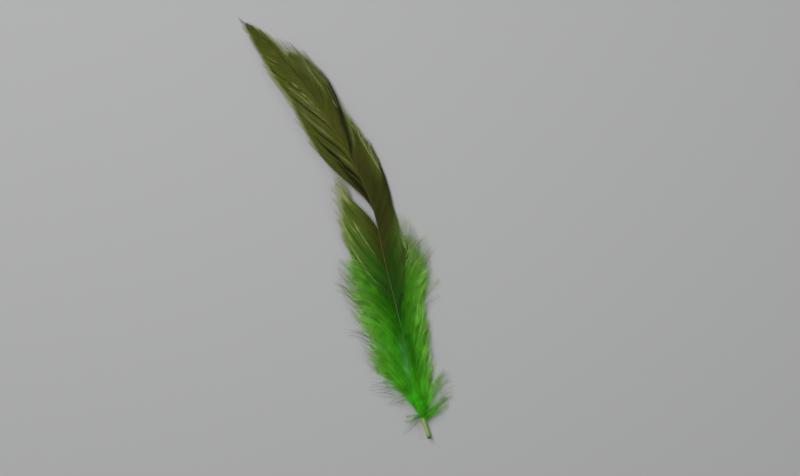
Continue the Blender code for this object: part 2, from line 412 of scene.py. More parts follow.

# marks on a blade, told by the station of a barb's root and the share of its length: clefts, painted dark
# as shade where the locks part, and pale lines, pale barbs and painted highlights, have an amount and rows
# of share, root and half width, and spots, painted highlight and painted shade with some greener tint,
# have root, share, their reach in both, how much lighter they are and how green
leftBlade = {
    "side": -1,
    "roots": (82.3, 163.2),
    "reach": [    # root, tip station, tip offset, where the closed web ends
        (80, 112, 8.8), (88, 114, 8.6), (93, 119, 8.6), (98, 126, 7.9), (104, 131.5, 6.9),
        (109, 136.8, 6.2), (130, 145.5, 5.1), (138, 149, 4.7), (142, 151, 4.3), (150, 156.5, 3.4),
        (156, 160, 1.8), (161, 163.2, 0.5), (163.6, 164.6, 0.05),
    ],
    # length of the free tips, in mm
    "fringe": [(80, 0.5), (84, 1), (128, 1), (138, 0.5), (156, 0.4), (163.6, 0.2)],
    "curl": [(80, 0), (164, 0)],
    "brown": (40, 1, 8),    # station where the brown starts, its slope by offset, softness
    "clefts": [
        (1, [(0.3, 125.4, 0.4), (0.4, 126.5, 0.7), (0.46, 128, 0.9), (0.53, 130, 0.9),
             (0.65, 132.8, 0.9), (0.8, 135, 0.6)]),
        (1, [(0.12, 109.6, 0.4), (0.25, 111.7, 0.8), (0.45, 112.4, 1), (0.56, 113, 1.1),
             (0.65, 115.5, 1.2), (0.7, 119.5, 1.3), (0.82, 123, 0.8)]),
        (0.9, [(0.06, 98.4, 0.4), (0.2, 100.6, 0.8), (0.34, 100.4, 0.9), (0.5, 100.2, 0.8),
               (0.7, 102, 0.6)]),
        (1, [(0.06, 91.6, 0.8), (0.2, 91.8, 1.4), (0.3, 92.2, 1.7), (0.36, 94, 1.5), (0.5, 94.8, 1),
             (0.66, 96.5, 0.5)]),
        (0.5, [(0.3, 140.6, 0.3), (0.5, 141.3, 0.5), (0.7, 143.5, 0.4)]),
        (0.5, [(0.3, 105.6, 0.3), (0.5, 106.4, 0.5), (0.75, 108.5, 0.4)]),
        (0.45, [(0.35, 118.5, 0.3), (0.6, 121, 0.5), (0.85, 125.5, 0.4)]),
        (0.72, [(0, 85.6, 2.2), (0.15, 86.6, 3.6), (0.3, 88.4, 3.2), (0.45, 90.8, 1.6)]),
    ],
    "paleAndHighlightLines": [
        (0.38, [(0.14, 117, 0.6), (0.24, 121.5, 1.2), (0.31, 125.2, 1.5), (0.36, 129.5, 1.5),
                (0.4, 133.6, 0.9)]),
        (0.34, [(0.18, 114.8, 0.7), (0.34, 118.6, 1.3), (0.5, 122.4, 1.3), (0.6, 125, 0.8)]),
        (0.28, [(0.22, 112.9, 0.5), (0.45, 115.8, 1), (0.6, 120, 0.8)]),
        (0.35, [(0.36, 142.2, 0.4), (0.5, 143, 0.4), (0.62, 144.4, 0.4)]),
        (0.3, [(0.5, 139.6, 0.4), (0.7, 141.5, 0.4)]),
        (0.14, [(0.3, 103.8, 1.4), (0.6, 105.6, 2.4), (0.9, 110, 2)]),
        (0.16, [(0.12, 97, 0.7), (0.24, 96.5, 1), (0.34, 96.8, 0.7)]),
    ],
    "slits": [],
    "lightAndTintSpots": [
        (87, 0.18, 6, 0.22, -0.55, 0), (90.8, 0.22, 0.8, 0.07, 1.2, 0),
        (96.3, 0.2, 1.8, 0.09, 0.3, 0), (122, 0.38, 8, 0.2, 0.16, 0),
        (146, 0.4, 12, 0.4, -0.05, 0.2), (156, 0.4, 8, 0.5, -0.12, 0.15),
    ],
    # painted light and shade along the blade, by root
    "light": [(80, 0.85), (92, 0.9), (100, 1.0), (125, 1.15), (140, 1.05), (164, 0.9)],    # by root
    "lightNearShaft": 1.0,
    "baseShade": 0.0,
    "paleTips": [(80, 0.8), (164, 0.8)],
    "seed": 3,
}
rightBlade = {
    "side": 1,
    "roots": (41.5, 163.2),
    "reach": [
        (41, 52, 2.6), (44, 59, 6), (48, 66, 8.4), (58, 74, 7.4), (68, 84, 7), (78, 95, 8.3),
        (85, 103, 8.2), (95, 113, 6.3), (101, 120, 5.4), (103, 127, 6.8), (112, 134, 7),
        (120, 140, 6.6), (126, 143.5, 5.3), (130, 146, 3.5), (133, 147, 1.8), (140, 151, 1.25),
        (150, 157, 1.1), (158, 162, 0.5), (163.6, 164.6, 0.05),
    ],
    "fringe": [(41, 2.2), (46, 1.2), (56, 0.3), (60, 0.05), (78, 0.1), (84, 0.6), (101, 0.6), (104, 0.7),
               (112, 0.9), (120, 0.9), (128, 0.7), (134, 0.5), (150, 0.6), (158, 0.4), (163.6, 0.2)],
    "curl": [(46, 0), (58, 0.2), (68, 1.3), (90, 1.6), (104, 0), (164, 0)],
    "brown": (63.5, 2.6, 12),
    "clefts": [
        (0.82, [(0.1, 101.4, 0.6), (0.2, 101.3, 1.2), (0.3, 101.4, 2.3), (0.36, 102.2, 3.4),
                (0.45, 103.8, 4.8),
                (0.55, 104.8, 5.2), (0.65, 105.4, 5), (0.8, 105.4, 3.8), (1, 103.4, 2.2)]),
        # painted shadow along the curled right edge
        (0.5, [(0.35, 104, 4.5), (0.5, 107.5, 6.5), (0.65, 110, 7.4), (0.85, 111, 7), (1, 109, 5)]),
        (0.85, [(0.6, 95.2, 0.5), (0.7, 96.6, 0.7), (0.78, 98, 0.7), (0.9, 100, 0.4)]),
        (0.8, [(0.2, 118.6, 0.3), (0.3, 119.6, 0.6), (0.42, 121, 0.5)]),
        (0.85, [(0.2, 131, 0.3), (0.27, 132.4, 0.5), (0.44, 135.5, 0.7), (0.54, 138.6, 0.8),
                (0.7, 141.5, 0.5)]),
        (0.7, [(0.72, 84.8, 0.4), (0.8, 86, 0.5), (0.9, 87.6, 0.4)]),
        (0.5, [(0.6, 118, 0.4), (0.78, 121.5, 0.5), (0.95, 124, 0.4)]),
        (0.4, [(0.3, 128, 0.3), (0.5, 129.5, 0.5), (0.8, 132, 0.4)]),
    ],
    "paleAndHighlightLines": [
        (1, [(0.78, 85.8, 0.3), (0.84, 88.6, 0.45), (0.88, 91, 0.45), (0.96, 94.2, 0.4)]),
        (0.9, [(0.84, 84.8, 0.3), (0.9, 87.6, 0.45), (0.96, 90.4, 0.4)]),
        (0.8, [(0.74, 90.2, 0.3), (0.8, 92.2, 0.4), (0.86, 94.4, 0.35)]),
        (0.2, [(0.4, 98, 1), (0.7, 99.4, 1.4), (1, 101, 1)]),
    ],
    "slits": [    # the floor shows: root, from share, to share, half width in root
        (121, 0.86, 1, 0.4), (125, 0.8, 1, 0.4), (130, 0.8, 1, 0.4),
    ],
    "lightAndTintSpots": [
        (86.5, 0.62, 4.8, 0.13, 0.85, 0.35), (84, 0.28, 7, 0.14, -0.25, 0),
        (99, 0.6, 2.6, 0.25, 0.2, 0.4), (70, 0.94, 18, 0.1, -0.5, 0),
        (50, 1, 9, 0.35, -0.4, 0), (126, 0.45, 8, 0.25, 0.06, 0.08),
        (152, 0.5, 10, 0.6, -0.1, 0.2), (112, 0.12, 12, 0.12, 0.08, 0),
    ],
    # painted light and shade by root: darker where the vane curls under
    "light": [(41, 0.72), (47, 0.72), (80, 0.59), (95, 0.7), (104, 0.82), (120, 0.95), (163, 0.9)],
    "lightNearShaft": 0.9,
    "baseShade": 0.1,
    "paleTips": [(41, 0), (76, 0.05), (84, 0.8), (104, 0.7), (164, 0.8)],
    "seed": 5,
}
splitLocks = {
    "side": -1,
    "roots": (41.5, 75),
    "reach": [(41, 53, 3.4), (44, 61, 7.4), (47, 70, 11), (50, 75, 12), (54, 80, 12), (60, 87, 10.4),
              (68, 92, 8.9), (77, 97.5, 6.4)],
    "fringe": [(41, 2.2), (46, 1.8), (77, 1.5)],
    "curl": [(46, 0), (77, 0)],
    "brown": (64.5, 1.5, 14),
    "clefts": [
        (0.7, [(0.5, 68.3, 0.3), (0.6, 68.7, 0.45), (0.7, 69, 0.35)]),
        (0.45, [(0.3, 56, 0.4), (0.55, 57, 0.7), (0.8, 58, 0.5)]),
        (0.4, [(0.4, 52.4, 0.4), (0.7, 53.6, 0.6)]),
    ],
    "paleAndHighlightLines": [
        (1, [(0.29, 60.5, 0.25), (0.4, 61.6, 0.35), (0.49, 63, 0.35), (0.58, 64.5, 0.3)]),
        (0.6, [(0.34, 48.8, 0.4), (0.42, 50.2, 0.5), (0.52, 51.8, 0.7), (0.66, 52.6, 0.7)]),
        (0.5, [(0.6, 55, 0.5), (0.85, 56.4, 0.7)]),
        (0.5, [(0.55, 60, 0.4), (0.85, 61.6, 0.7)]),
        (0.45, [(0.66, 66.4, 0.4), (0.9, 67.6, 0.6)]),
        (0.55, [(0.66, 72, 1.4), (0.85, 72, 3.6), (1, 71.5, 5)]),
    ],
    "slits": [(70.5, 0.8, 1, 0.4)],
    "lightAndTintSpots": [
        (72, 0.6, 4, 0.2, 0.1, 0.25), (61, 0.5, 14, 0.6, 0, 0.36), (73, 1, 6, 0.4, 0.25, 0),
    ],
    # painted light and shade by root
    "light": [(41, 0.75), (60, 0.95), (77, 0.95)],
    "lightNearShaft": 0.55,
    "baseShade": 0.0,
    "paleTips": [(41, 0.2), (50, 0.8), (77, 0.9)],
    "seed": 8,
}
vane = {
    "spacing": 0.35,
    "rings": 18,
    "swing": 1.4,          # how late a barb swings out from the shaft
    "drop": 2.0,           # how far the outline lies below the shaft
    "overlap": 1.6,        # width of a barb for each step to the next one
    "bank": 0.18,          # angle that lets the barbs lie like shingles
    "thick": 0.035,
    "rim": 0.08,           # height of a cleft's rim
    "cleft": 0.16,         # depth of a cleft
    "hair": 0.028,         # half width of a free tip
    "flat": 0.6,           # height of a free tip for each width
    "flare": 2.2,          # how far a free tip runs on along the shaft for each mm across
    "tufts": (4, 9),       # barbs that cling together at their tips
    "gather": 0.4,
    "ragged": (0.3, 0.35),    # how unevenly the free tips end, barb by barb and tuft by tuft
    "tone": (0.6, 0.8),       # and how their colour varies
    "wave": (0.06, 14.0),     # of a free tip, and its turns
    "stray": 0.14,
}


def drawLine(line, column, share):
    # 1 on a line across the barbs and 0 away from it
    first, last = line[0][0], line[-1][0]
    inside = window((first - 0.05, first + 0.05), (last - 0.06, last + 0.04), share)
    return inside * np.exp(-np.abs((column - read(line, share, 1)) / read(line, share, 2)) ** 3)


def uneven(random, tufts, byBarb, byTuft):
    # random amounts, barb by barb and tuft by tuft
    amounts = byBarb * random.normal(size=len(tufts))
    return amounts + byTuft * random.normal(size=tufts.max() + 1)[tufts]


def bladeMarks(blade, roots, share, station, offset, fringe, freeFrom):
    # what colours the barbs, and how high a cleft and its rim stand
    column = roots[:, None]
    cleft = np.zeros_like(offset)
    relief = np.zeros_like(offset)
    # the clefts are painted dark, as shade where the locks part, and sunk below a raised rim
    for dark, line in blade["clefts"]:
        near = drawLine(line, column, share)
        cleft = np.maximum(cleft, dark * near)
        rim = drawLine([(at, root - 2.0 * half, half) for at, root, half in line], column, share)
        relief = relief + (vane["rim"] * rim - vane["cleft"] * near) * dark
    paleTips = read(blade["paleTips"], roots) * np.clip(fringe / 0.8, 0.0, 1.0)
    pale = paleTips[:, None] * ramp(freeFrom - 0.04, 0.5 + 0.5 * freeFrom, share)
    for amount, line in blade["paleAndHighlightLines"]:
        pale = np.maximum(pale, amount * drawLine(line, column, share))
    pale = pale * (1.0 - 0.9 * cleft)

    start, slope, soft = blade["brown"]
    brown = 0.5 + (station - start - slope * offset) / soft
    # painted light and shade: a level for each root, darker beside the shaft, and darker on the green base
    lightNearShaft = blade["lightNearShaft"]
    light = read(blade["light"], roots)[:, None]
    light = light * (lightNearShaft + (1.0 - lightNearShaft) * ramp(0.6, 5.5, offset))
    low = 1.0 - ramp(68.0, 80.0, station + 0.6 * offset * (blade["side"] < 0))
    light = light * (1.0 - blade["baseShade"] * (1.0 - np.clip(brown, 0.0, 1.0)) * low)
    # spots paint highlights and shade, and some tint the barbs towards green
    for root, at, reachRoot, reachShare, lighter, greener in blade["lightAndTintSpots"]:
        spot = np.exp(-((column - root) / reachRoot) ** 2 - ((share - at) / reachShare) ** 2)
        light = light * (1.0 + lighter * spot)
        brown = np.minimum(brown, 1.0) * (1.0 - greener * spot)
    # the pale marks are also made lighter, a painted highlight
    light = light + (1.1 - light) * pale
    marks = {"outer": fill(ramp(0.2, 0.95, share), offset), "brown": np.clip(brown, -1.0, 2.0),
             "cleft": cleft, "pale": pale, "light": light}
    return marks, relief


def growBlade(name, blade, material):
    random = np.random.default_rng(blade["seed"])
    side = blade["side"]
    roots = np.arange(*blade["roots"], vane["spacing"])
    barbs = len(roots)
    share = shares(vane["rings"])
    column = roots[:, None]
    tufts = tuftNumbers(random, barbs, vane["tufts"])
    ragged = uneven(random, tufts, *vane["ragged"])
    fringe = read(blade["fringe"], roots) * (1.0 + np.clip(ragged, -0.7, 0.9))
    tipStation = read(blade["reach"], roots, 1) + vane["flare"] * fringe
    tipOffset = read(blade["reach"], roots, 2) + fringe
    # share of each barb that is free of its neighbours
    free = vane["flare"] * fringe / (tipStation - roots) + 0.05
    freeFrom = np.clip(1.0 - 1.25 * free, 0.4, 0.95)[:, None]
    station = column + (tipStation[:, None] - column) * share
    outward = np.sin(0.5 * math.pi * share) ** vane["swing"]
    outward = outward + 0.06 * fringe[:, None] * (ramp(0.8, 1.0, share) - outward ** 6)
    offset = tipOffset[:, None] * outward

    widest = max(row[2] for row in blade["reach"])
    curl = read(blade["curl"], roots)[:, None] * ramp(0.55, 1.0, share)
    lift = -vane["drop"] * (offset / widest) ** 2 - curl * 1.2
    offset = offset - 0.25 * curl * ramp(0.8, 1.0, share)
    marks, relief = bladeMarks(blade, roots, share, station, offset, fringe, freeFrom)

    lines = shaft.place(station, side * offset, lift + relief)
    tangent = unit(np.gradient(lines, axis=1))
    following = np.gradient(shaft.place(station, side * offset, lift), axis=0) * -side
    following = following - (following * tangent).sum(axis=-1, keepdims=True) * tangent
    apart = np.linalg.norm(following, axis=-1)
    across = unit(following)
    up = unit(np.cross(across, tangent))
    across = unit(across * math.cos(vane["bank"]) + side * up * math.sin(vane["bank"]))
    up = unit(np.cross(across, tangent))

    width = 0.5 * vane["overlap"] * np.clip(apart, 0.05, 0.4)
    loose = ramp(freeFrom, 0.6 + 0.4 * freeFrom, share)
    for root, first, last, reachOut in blade["slits"]:
        gap = window((first, first + 0.12), (last, last + 0.05), share)
        loose = np.maximum(loose, gap * np.exp(-((column - root) / reachOut) ** 4))
    width = width + (vane["hair"] - width) * loose
    thinner = (vane["flat"] * vane["hair"] - vane["thick"]) * ramp(0.1, 1.0, share)
    height = fill(vane["thick"] + thinner, width)

    lines = gatherTips(lines, tufts, vane["gather"], share)
    wave, turns = vane["wave"]
    wave = wave * np.sin(share * turns + random.uniform(*phases, (barbs, 1)))
    lines = lines + (wave * loose)[..., None] * up
    lines = lines + (vane["stray"] * random.normal(size=(barbs, 1)) * loose)[..., None] * across
    lines[..., 2] = np.maximum(lines[..., 2], feather["lineGap"])
    tone = uneven(random, tufts, *vane["tone"])
    marks["tone"] = fill(np.clip(tone, -2, 2)[:, None], offset)
    bundle = Bundle()
    bundle.addStrands(lines, across, up, width, height, vaneProfile, marks)
    return bundle.makePiece(name, material)


def tuftNumbers(random, count, sizes):
    # numbers the strands by the small tufts that they cling to
    numbers = []
    while len(numbers) < count:
        numbers += [numbers[-1] + 1 if numbers else 0] * int(random.integers(sizes[0], sizes[1]))
    return np.array(numbers[:count])


def levelFrame(lines):
    # directions across each strand, level and upwards
    tangent = unit(np.gradient(lines, axis=1))
    across = unit(np.cross(tangent, np.array([0.0, 0.0, 1.0])))
    return across, unit(np.cross(across, tangent))


def gatherTips(lines, tufts, amount, share):
    middles = np.zeros((tufts.max() + 1,) + lines.shape[1:])
    np.add.at(middles, tufts, lines)
    middles = middles / np.bincount(tufts)[:, None, None]
    pull = amount * ramp(0.7, 1.0, share)[..., None]
    return lines + pull * (middles[tufts] - lines)


growBlade("bladeLeft", leftBlade, bladeMaterial)
growBlade("bladeRight", rightBlade, bladeMaterial)
growBlade("bladeSplit", splitLocks, bladeMaterial)
print("blade grown")


leftDown = {
    "side": -1,
    "roots": (7.5, 56.0),
    "reach": [    # root, tip station, tip offset
        (7, 19, 7.5), (8, 24, 10.5), (10, 29, 13.2), (14, 36, 13.0), (22, 44, 13.4), (30, 52, 14.2),
        (38, 60, 14.8), (44, 64.5, 13.6), (50, 67.5, 11.5), (57, 71, 8.0),
    ],
    "bend": (1.8, 1.15),    # powers that turn the tips outwards
    "under": (0.45, 11.4),  # depth below the blade where it covers the down, and the blade's width there
}
rightDown = {
    "side": 1,
    "roots": (7.0, 58.0),
    "reach": [
        (7, 22, 6.5), (8, 26, 7.6), (12, 33, 8.4), (18, 39, 8.6), (25, 46, 9.0), (32, 53, 11.2),
        (40, 59, 14.2), (46, 62.5, 13.4), (52, 66, 11.2), (58, 70, 9.2),
    ],
    "bend": (1.35, 0.95),
    "under": (0.9, 8.2),
}
down = {
    "barbs": 400,
    "rings": 13,
    "locks": 34,
    "gather": 0.22,
    "uneven": 0.3,          # how much shorter the shortest barbs are
    "wild": (0.05, 1.8, 0.07),    # how far locks differ in length, in tip station and in tip offset
    "stray": (1.2, 0.07),   # and how far a barb's tip strays from its lock
    "level": 0.4,           # how much the heights of the tips differ
    "tone": (0.6, 0.9),     # how the colour varies, barb by barb and lock by lock
    "blade": (42.5, 2.4, 1.6),    # station where the blade starts to cover it, slope by offset, raggedness
    "sway": 0.8,            # waves of the barbs, in mm at their tips
    "turns": (3.0, 9.0),    # of the waves
    "stem": 0.07,           # half width of a barb at its root
    "hair": 0.016,
    "barbules": 84,
    "length": (1.6, 0.95),  # of a barbule, near the root and near the tip
    "lengths": (0.55, 1.2),    # and how it varies
    "lean": (0.6, 1.05),    # angle between a barbule and its barb
    "roll": 0.55,
    "spike": 0.042,
    "bare": 0.1,            # share of a barb that is a bare hair at its tip
    "stains": [    # olive brown: side, station, offset, reach along and across, amount
        (-1, 19.5, 5.0, 2.4, 4.0, 0.62), (1, 37.5, 8.4, 3.0, 1.4, 0.7), (1, 49.0, 9.8, 2.6, 1.8, 0.6),
        (-1, 14.5, 4.6, 4.0, 2.2, 0.6), (-1, 27.0, 8.2, 3.5, 1.8, 0.45), (1, 30.0, 6.6, 4.0, 1.4, 0.4),
        (-1, 62.0, 12.0, 4.0, 3.0, 0.42), (1, 61.0, 10.0, 5.0, 3.0, 0.42),
        (-1, 48.0, 12.5, 3.0, 2.0, 0.38),
    ],
}
looseTufts = [    # side, root, tip station, tip offset, tip height, barbs, spread of the tips, puff
    (1, 8.0, 19.0, 10.6, 1.6, 9, 1.2, 0.5), (1, 8.5, 21.5, 12.0, 1.2, 4, 0.8, 0.5),
    (1, 7.5, 18.0, 13.6, 0.8, 3, 0.7, 0.5), (1, 7.0, 10.5, 10.6, 1.4, 8, 0.8, 0.5),
    (1, 7.0, 12.0, 10.4, 1.9, 6, 0.8, 0.5), (1, 6.8, 9.2, 5.9, 2.2, 6, 1.0, 0.5),
    (-1, 8.0, 8.2, 5.0, 1.4, 2, 0.5, 0.5),
    (1, 7.4, 24.0, 1.0, 4.0, 12, 0.8, 1.0), (-1, 7.4, 21.0, 1.2, 3.9, 10, 0.7, 1.0),
    (1, 8.2, 29.0, 3.4, 4.0, 14, 1.0, 1.0), (1, 7.0, 19.0, 2.8, 3.9, 10, 0.8, 1.0),
    (-1, 8.6, 24.0, 3.6, 3.8, 9, 1.0, 1.0), (1, 10.0, 24.0, 0.2, 4.1, 8, 0.7, 1.1),
    (-1, 6.9, 15.0, 0.8, 3.7, 7, 0.7, 1.1), (1, 6.9, 15.0, 0.9, 3.7, 7, 0.7, 1.1),
]

# painted light and shade on the down
downShade = {    # pairs are for the left and the right side
    "valley": 0.54,         # how much darker the down is beside the shaft
    "fold": 0.45,           # and in the fold right of it
    "foot": (0.36, 0.6),    # how much lighter the foot is
    # the outline and the crest are painted lighter, as rim light
    "rim": (0.42, 0.65),    # and the outline
    "wedge": 0.55,          # how pale the wedge left of the shaft is
    "crest": (0.7, 0.34),   # top of the right side: how light and how brown
    "leftEdge": 12.5,       # where the outline's light ends
    "rightEdge": [(20, 7.5), (45, 8.5), (60, 13.5)],
}


def downMarks(side, station, offset):
    def bySide(pair):
        return np.where(side < 0, *pair)

    broad = 1.4 + 0.36 * np.clip(station - 36.0, 0.0, 20.0)
    valley = np.exp(-(offset / broad) ** 2) * ramp(31.0, 40.0, station)
    fold = np.exp(-((offset - 2.1) / 1.0) ** 2) * window((20.0, 26.0), (33.0, 38.0), station)
    foot = (1.0 - ramp(13.0, 29.0, station)) * np.exp(-(offset / 5.0) ** 4)
    # painted shade: darker in the valley beside the shaft and in the fold right of it
    light = 1.0 - downShade["valley"] * valley
    light = light * np.where(side > 0, 1.0 - downShade["fold"] * fold, 1.0)
    light = light * (1.0 + 0.12 * (1.0 - ramp(20.0, 38.0, station)))
    light = light * (1.0 + bySide(downShade["foot"]) * foot)
    light = light * (0.62 + 0.38 * ramp(7.0, 13.5, station))
    wedge = (1.0 - ramp(0.9, 2.4, offset)) * window((19.0, 24.0), (33.0, 38.0), station)
    pale = np.where(side < 0, downShade["wedge"] * wedge, 0.0)
    rim = offset / bySide((downShade["leftEdge"], read(downShade["rightEdge"], station)))
    crest = np.where(side > 0, ramp(52.0, 62.0, station) * ramp(5.0, 9.0, offset), 0.0)
    crestLight, crestBrown = downShade["crest"]
    # painted rim light: lighter towards the outline and on the crest
    glow = np.maximum(ramp(0.55, 1.1, rim), crestLight * crest) * ramp(18.0, 27.0, station)
    light = light * (0.95 + bySide(downShade["rim"]) * glow)
    brown = np.zeros_like(offset)
    for hand, at, out, reachAlong, reachAcross, amount in down["stains"]:
        spot = amount * np.exp(-((station - at) / reachAlong) ** 2 - ((offset - out) / reachAcross) ** 2)
        brown = np.maximum(brown, np.where(side == hand, spot, 0.0))
    light = light * (1.0 + 0.6 * brown)
    brown = np.maximum(brown, crestBrown * crest)
    outer = np.maximum(ramp(0.05, 1.15, rim), crest)
    return {"outer": outer, "brown": brown, "cleft": np.zeros_like(offset), "pale": pale, "light": light}


def growDown(name, tuft, layers, seed, material):
    # layers: tip height and puff of the locks, by turns
    random = np.random.default_rng(seed)
    side = tuft["side"]
    barbs = down["barbs"]
    locks = down["locks"]
    roots = np.sort(random.uniform(*tuft["roots"], barbs))
    lock = np.minimum((locks * (roots - roots[0]) / (roots[-1] - roots[0] + 0.01)).astype(int), locks - 1)
    share = shares(down["rings"])
    wildLength, wildStation, wildOffset = down["wild"]
    strayStation, strayOffset = down["stray"]
    coverFrom, coverSlope, ragged = down["blade"]
    toneBarb, toneLock = down["tone"]

    def byBarb():
        return random.normal(size=barbs)

    def byLock():
        return random.normal(size=locks)[lock]

    length = 1.04 - down["uneven"] * random.uniform(0.0, 1.0, barbs) ** 2
    length = np.clip(length + wildLength * byLock(), 0.5, 1.1)
    slide = wildStation * byLock() + strayStation * byBarb()
    broad = 1.0 + np.clip(wildOffset * byLock() + strayOffset * byBarb(), -0.2, 0.1)
    tipStation = roots + (read(tuft["reach"], roots, 1) - roots) * length + slide
    tipOffset = read(tuft["reach"], roots, 2) * length * broad
    layer = np.array(layers)[random.integers(0, len(layers), locks)][lock]
    tipHeight = np.clip(layer[:, 0] + random.normal(0.0, down["level"], barbs), 0.1, 5.0)
    bend = np.array(tuft["bend"])[:, None, None] + random.normal(0.0, 0.12, (2, barbs, 1))
    tips = (tipStation, tipOffset, tipHeight)
    station, offset, lines = softLines(side, roots, tips, layer[:, 1], bend, share)
    # the blade lies on the down near its foot
    edge = coverFrom + coverSlope * offset - ragged * random.normal(size=(barbs, 1))
    covered = ramp(-2.5, 0.5, station - edge)
    depth, widest = tuft["under"]
    under = shaft.centre(station)[..., 2] - vane["drop"] * (offset / widest) ** 2 - depth
    lines[..., 2] -= covered * np.maximum(lines[..., 2] - np.maximum(under, 0.1), 0.0)
    lines = gatherTips(lines, lock, down["gather"], 0.45 + 0.4 * share)
    tone = np.clip(toneBarb * byBarb() + toneLock * byLock(), -2, 2)
    return makePlumes(name, random, side, station, offset, lines, share, tone, material)


def softLines(side, roots, tips, puff, bend, share):
    # curves from the shaft that turn outwards, puff up a little and level out at their tips
    tipStation, tipOffset, tipHeight = [values[:, None] for values in tips]
    station = roots[:, None] + (tipStation - roots[:, None]) * (1.0 - (1.0 - share) ** bend[0])
    offset = tipOffset * share ** bend[1]
    start = shaft.centre(roots)[:, 2:]
    height = tipHeight + (start - tipHeight) * (1.0 - share) ** 2
    lines = shaft.place(station, side * offset, np.zeros_like(offset))
    lines[..., 2] = height + puff[:, None] * 4.0 * share * (1.0 - share)
    return station, offset, lines


def makePlumes(name, random, side, station, offset, lines, share, tone, material):
    # waves the lines and dresses them with barbules
    barbs = len(lines)
    phase = random.uniform(*phases, (barbs, 3))
    for axis in range(3):
        swell = down["sway"] * (1.0 if axis < 2 else 0.4) * share ** 1.5
        turns = random.uniform(*down["turns"], (barbs, 1))
        start = phase[:, axis:axis + 1]
        lines[..., axis] += swell * (np.sin(share * turns + start) - np.sin(start))
    lines[..., 2] = np.maximum(lines[..., 2], feather["floorGap"] + down["hair"])
    across, up = levelFrame(lines)
    width = fill(down["stem"] + (down["hair"] - down["stem"]) * share ** 0.7, offset)
    marks = downMarks(side, station, offset)
    marks["tone"] = fill(tone[:, None], offset)
    bundle = Bundle()
    bundle.addStrands(lines, across, up, width, width, stemProfile, marks)
    addBarbules(bundle, random, lines, across, up, marks)
    return bundle.makePiece(name, material)


def growLooseTufts(name, tufts, seed, material):
    random = np.random.default_rng(seed)
    rows = np.array([row[:5] + row[6:] for row in tufts for _ in range(row[5])], dtype=float)
    side, root, tipStation, tipOffset, tipHeight, spread, puff = rows.T
    count = len(rows)
    tipStation = tipStation + spread * np.clip(random.normal(size=count), -1.6, 1.6)
    tipOffset = tipOffset + spread * np.clip(random.normal(size=count), -1.6, 1.2)
    tipHeight = np.clip(tipHeight + 0.3 * random.normal(size=count), 0.1, 5.0)
    share = shares(down["rings"])
    side = side[:, None]
    root = root + 0.5 * random.normal(size=count)
    tips = (tipStation, tipOffset, tipHeight)
    station, offset, lines = softLines(side, root, tips, puff, (1.5, 1.0), share)
    tone = random.normal(size=count)
    return makePlumes(name, random, side, station, offset, lines, share, tone, material)


def addBarbules(bundle, random, lines, across, up, marks):
    strands, rings = lines.shape[:2]
    each = down["barbules"]
    share = (np.arange(each) + random.uniform(0.0, 1.0, (strands, each))) / each
    share = 0.02 + (0.98 - down["bare"]) * share
    ring = np.minimum((share * (rings - 1)).astype(int), rings - 2)
    part = share * (rings - 1) - ring
    which = fill(np.arange(strands)[:, None], ring)

    def along(values):
        first, second = values[which, ring], values[which, ring + 1]
        mix = part if values.ndim == 2 else part[..., None]
        return first + (second - first) * mix

    roots = along(lines)
    forward = unit(lines[which, ring + 1] - lines[which, ring])
    hand = np.where(np.arange(each) % 2 == 0, 1.0, -1.0)[None, :, None]
    roll = random.normal(0.0, down["roll"], (strands, each, 1))
    lean = random.uniform(*down["lean"], (strands, each, 1))
    outwards = hand * np.cos(roll) * across[which, ring] + np.sin(roll) * up[which, ring]
    direction = np.cos(lean) * forward + np.sin(lean) * outwards
    first, last = down["length"]
    length = (first + (last - first) * share) * random.uniform(*down["lengths"], (strands, each))
    tips = roots + length[..., None] * direction
    tips[..., 2] = np.maximum(tips[..., 2], feather["floorGap"])
    radius = down["spike"] * (1.0 - 0.5 * share)
    marksHere = {name: along(value).ravel() for name, value in marks.items()}
    uvShare = strip["start"] + (strip["end"] - strip["start"]) * share.ravel()
    bundle.addSpikes(roots.reshape(-1, 3), tips.reshape(-1, 3), radius.ravel(),
                     stripsFor(which, strands), uvShare, marksHere)


growDown("downLeftLow", leftDown, [(0.3, 0.2), (1.4, 0.4)], 11, downMaterial)
growDown("downLeftTop", leftDown, [(3.8, 0.9), (2.4, 0.6)], 12, downMaterial)
growDown("downRightLow", rightDown, [(0.3, 0.2), (1.4, 0.4)], 13, downMaterial)
growDown("downRightTop", rightDown, [(3.8, 0.9), (2.4, 0.6)], 14, downMaterial)
growLooseTufts("looseTufts", looseTufts, 15, downMaterial)
print("down grown")


